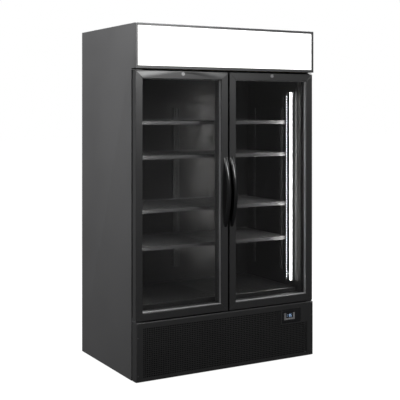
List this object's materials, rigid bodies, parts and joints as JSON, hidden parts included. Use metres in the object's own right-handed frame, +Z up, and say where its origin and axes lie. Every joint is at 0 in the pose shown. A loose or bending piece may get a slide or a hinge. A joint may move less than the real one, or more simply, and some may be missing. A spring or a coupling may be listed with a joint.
{
  "type": "glass door merchandiser",
  "caption": "Upright drinks display fridge with two hinged glass doors, shelves, lit sign box and front grille.",
  "frame": {"origin": "on the floor, under the middle of the whole object's box", "axes": "+Z up, +Y to the back, +X to the right as a customer faces the doors"},
  "size_m": [1.212, 0.8166, 1.99],
  "materials": {
    "black_coat": "satin",
    "black_trim": "satin",
    "door_coat": "satin",
    "grille_coat": "satin",
    "liner_coat": "satin",
    "shelf_coat": "satin",
    "white_coat": "satin",
    "galvanised": "satin",
    "foam": "matte",
    "black_plastic": "matte",
    "aluminium": "satin",
    "lamp": "satin",
    "sign": "satin",
    "black_screw": "satin",
    "gloss_black": "gloss",
    "controller_grey": "satin",
    "key_plastic": "satin",
    "fins": "satin",
    "motor_black": "satin",
    "compressor_black": "gloss",
    "copper": "satin",
    "zinc": "satin",
    "fan_plastic": "satin",
    "glass": "polished",
    "gasket_rubber": "matte",
    "lock_chrome": "polished",
    "foot_plastic": "matte"
  },
  "bodies": {
    "cabinet": {"side_panel_left": "black_coat", "side_panel_right": "black_coat", "top_and_back_panels": "galvanised", "base_frame": "galvanised", "insulation_foam": "foam", "inner_liner": "liner_coat", "front_jamb": "black_plastic", "centre_mullion": "liner_coat", "air_duct_panel": "liner_coat", "shelf_uprights": "liner_coat", "shelf_supports": "black_coat", "floor_grids": "liner_coat", "lamp_housings": "aluminium", "lamp_diffusers": "lamp", "canopy_frame": "black_trim", "sign_panel": "sign", "canopy_light_tray": "white_coat", "grille_panel": "grille_coat", "panel_screws": "black_screw", "controller_bezel": "gloss_black", "controller_display": "controller_grey", "condenser_coil": "fins", "condenser_shroud": "galvanised", "fan_motors": "motor_black", "compressor": "compressor_black", "refrigerant_lines": "copper", "power_gland": "black_plastic", "fan_panel": "liner_coat", "evaporator_coil": "fins", "door_brackets": "zinc", "shelf_left_1": "shelf_coat", "shelf_right_1": "shelf_coat", "shelf_left_2": "shelf_coat", "shelf_right_2": "shelf_coat", "shelf_left_3": "shelf_coat", "shelf_right_3": "shelf_coat", "shelf_left_4": "shelf_coat", "shelf_right_4": "shelf_coat"},
    "left_door": {"door_frame_left": "door_coat", "door_glass_left": "glass", "door_gasket_left": "gasket_rubber", "door_handle_left": "gloss_black", "lock_barrel_left": "lock_chrome"},
    "right_door": {"door_frame_right": "door_coat", "door_glass_right": "glass", "door_gasket_right": "gasket_rubber", "door_handle_right": "gloss_black", "lock_barrel_right": "lock_chrome"},
    "left_lock": {"lock_plug_left": "lock_chrome"},
    "right_lock": {"lock_plug_right": "lock_chrome"},
    "set_button": {"button_set": "key_plastic"},
    "up_button": {"button_up": "key_plastic"},
    "down_button": {"button_down": "key_plastic"},
    "condenser_fan": {"condenser_fan": "fan_plastic"},
    "evaporator_fan_left": {"evaporator_fan_left": "fan_plastic"},
    "evaporator_fan_right": {"evaporator_fan_right": "fan_plastic"},
    "front_left_foot": {"foot_front_left": "foot_plastic"},
    "front_right_foot": {"foot_front_right": "foot_plastic"},
    "back_left_foot": {"foot_back_left": "foot_plastic"},
    "back_right_foot": {"foot_back_right": "foot_plastic"}
  },
  "joints": [
    {"name": "left_door_hinge", "type": "hinge", "parent": "cabinet", "child": "left_door", "pos_m": [-0.5894, -0.33875, 0.336], "axis": [0, 0, -1], "range_deg": [0, 110], "stiffness_Nm_per_rad": 0.6},
    {"name": "right_door_hinge", "type": "hinge", "parent": "cabinet", "child": "right_door", "pos_m": [0.5894, -0.33875, 0.336], "axis": [0, 0, 1], "range_deg": [0, 110], "stiffness_Nm_per_rad": 0.6},
    {"name": "left_lock_turn", "type": "hinge", "parent": "left_door", "child": "left_lock", "pos_m": [-0.3042, -0.35825, 1.711], "axis": [0, -1, 0], "range_deg": [0, 90]},
    {"name": "right_lock_turn", "type": "hinge", "parent": "right_door", "child": "right_lock", "pos_m": [0.3042, -0.35825, 1.711], "axis": [0, 1, 0], "range_deg": [0, 90]},
    {"name": "set_button_press", "type": "slide", "parent": "cabinet", "child": "set_button", "axis": [0, 1, 0], "range_m": [0, 0.0006], "stiffness_N_per_m": 500},
    {"name": "up_button_press", "type": "slide", "parent": "cabinet", "child": "up_button", "axis": [0, 1, 0], "range_m": [0, 0.0006], "stiffness_N_per_m": 500},
    {"name": "down_button_press", "type": "slide", "parent": "cabinet", "child": "down_button", "axis": [0, 1, 0], "range_m": [0, 0.0006], "stiffness_N_per_m": 500},
    {"name": "condenser_fan_spin", "type": "hinge", "parent": "cabinet", "child": "condenser_fan", "pos_m": [-0.1, -0.20195, 0.1675], "axis": [0, 1, 0], "continuous": true},
    {"name": "evaporator_fan_left_spin", "type": "hinge", "parent": "cabinet", "child": "evaporator_fan_left", "pos_m": [-0.27, -0.07095, 1.7232], "axis": [0, 0, 1], "continuous": true},
    {"name": "evaporator_fan_right_spin", "type": "hinge", "parent": "cabinet", "child": "evaporator_fan_right", "pos_m": [0.27, -0.07095, 1.7232], "axis": [0, 0, 1], "continuous": true},
    {"name": "front_left_foot_turn", "type": "hinge", "parent": "cabinet", "child": "front_left_foot", "pos_m": [-0.54, -0.25095, 0], "axis": [0, 0, 1], "continuous": true},
    {"name": "front_right_foot_turn", "type": "hinge", "parent": "cabinet", "child": "front_right_foot", "pos_m": [0.54, -0.25095, 0], "axis": [0, 0, 1], "continuous": true},
    {"name": "back_left_foot_turn", "type": "hinge", "parent": "cabinet", "child": "back_left_foot", "pos_m": [-0.54, 0.34825, 0], "axis": [0, 0, 1], "continuous": true},
    {"name": "back_right_foot_turn", "type": "hinge", "parent": "cabinet", "child": "back_right_foot", "pos_m": [0.54, 0.34825, 0], "axis": [0, 0, 1], "continuous": true}
  ]
}
